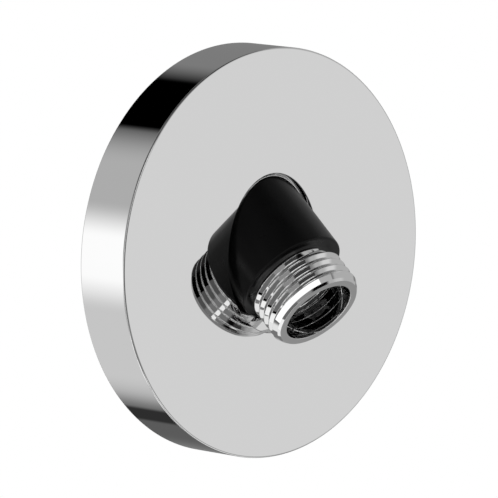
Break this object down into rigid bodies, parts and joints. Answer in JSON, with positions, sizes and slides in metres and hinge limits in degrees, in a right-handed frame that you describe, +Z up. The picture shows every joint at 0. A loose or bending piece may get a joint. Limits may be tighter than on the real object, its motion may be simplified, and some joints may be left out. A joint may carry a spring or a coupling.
{
  "type": "shower arm",
  "caption": "Wall outlet for a shower hose: a polished round cover, a black sleeve leaning down through its oval hole, and a threaded spigot with a non-return valve.",
  "frame": {"origin": "on the inlet's axis, in the wall plane", "axes": "+Y into the wall, along the inlet; +Z up; +X to the right seen from the room; the wall is the plane Y = 0"},
  "size_m": [0.0868, 0.0454, 0.0868],
  "materials": {
    "chrome": "polished",
    "brass": "satin",
    "zinc": "matte",
    "black": "satin",
    "rubber": "matte",
    "steel": "satin",
    "graphite": "satin"
  },
  "bodies": {
    "fitting": {"cover": "chrome", "centring_ring": "chrome", "outlet_spigot": "chrome", "elbow_body": "brass", "inlet_nipple": "brass", "mounting_plate": "zinc", "sleeve": "black", "spigot_seal": "rubber", "nipple_seal": "rubber", "wall_seal": "rubber", "inlet_gasket": "rubber", "valve_ring": "rubber", "cover_screw": "steel", "body_screw": "steel", "valve_spring": "steel", "valve_housing": "graphite", "valve_guide": "graphite", "valve_retainer": "graphite"},
    "poppet": {"valve_poppet": "graphite", "poppet_seal": "rubber"}
  },
  "joints": [
    {"name": "valve_slide", "type": "slide", "parent": "fitting", "child": "poppet", "axis": [0, -0.766, -0.6428], "range_m": [0, 0.0015], "stiffness_N_per_m": 150, "springref_m": -0.001, "deforming": ["valve_spring"]}
  ]
}
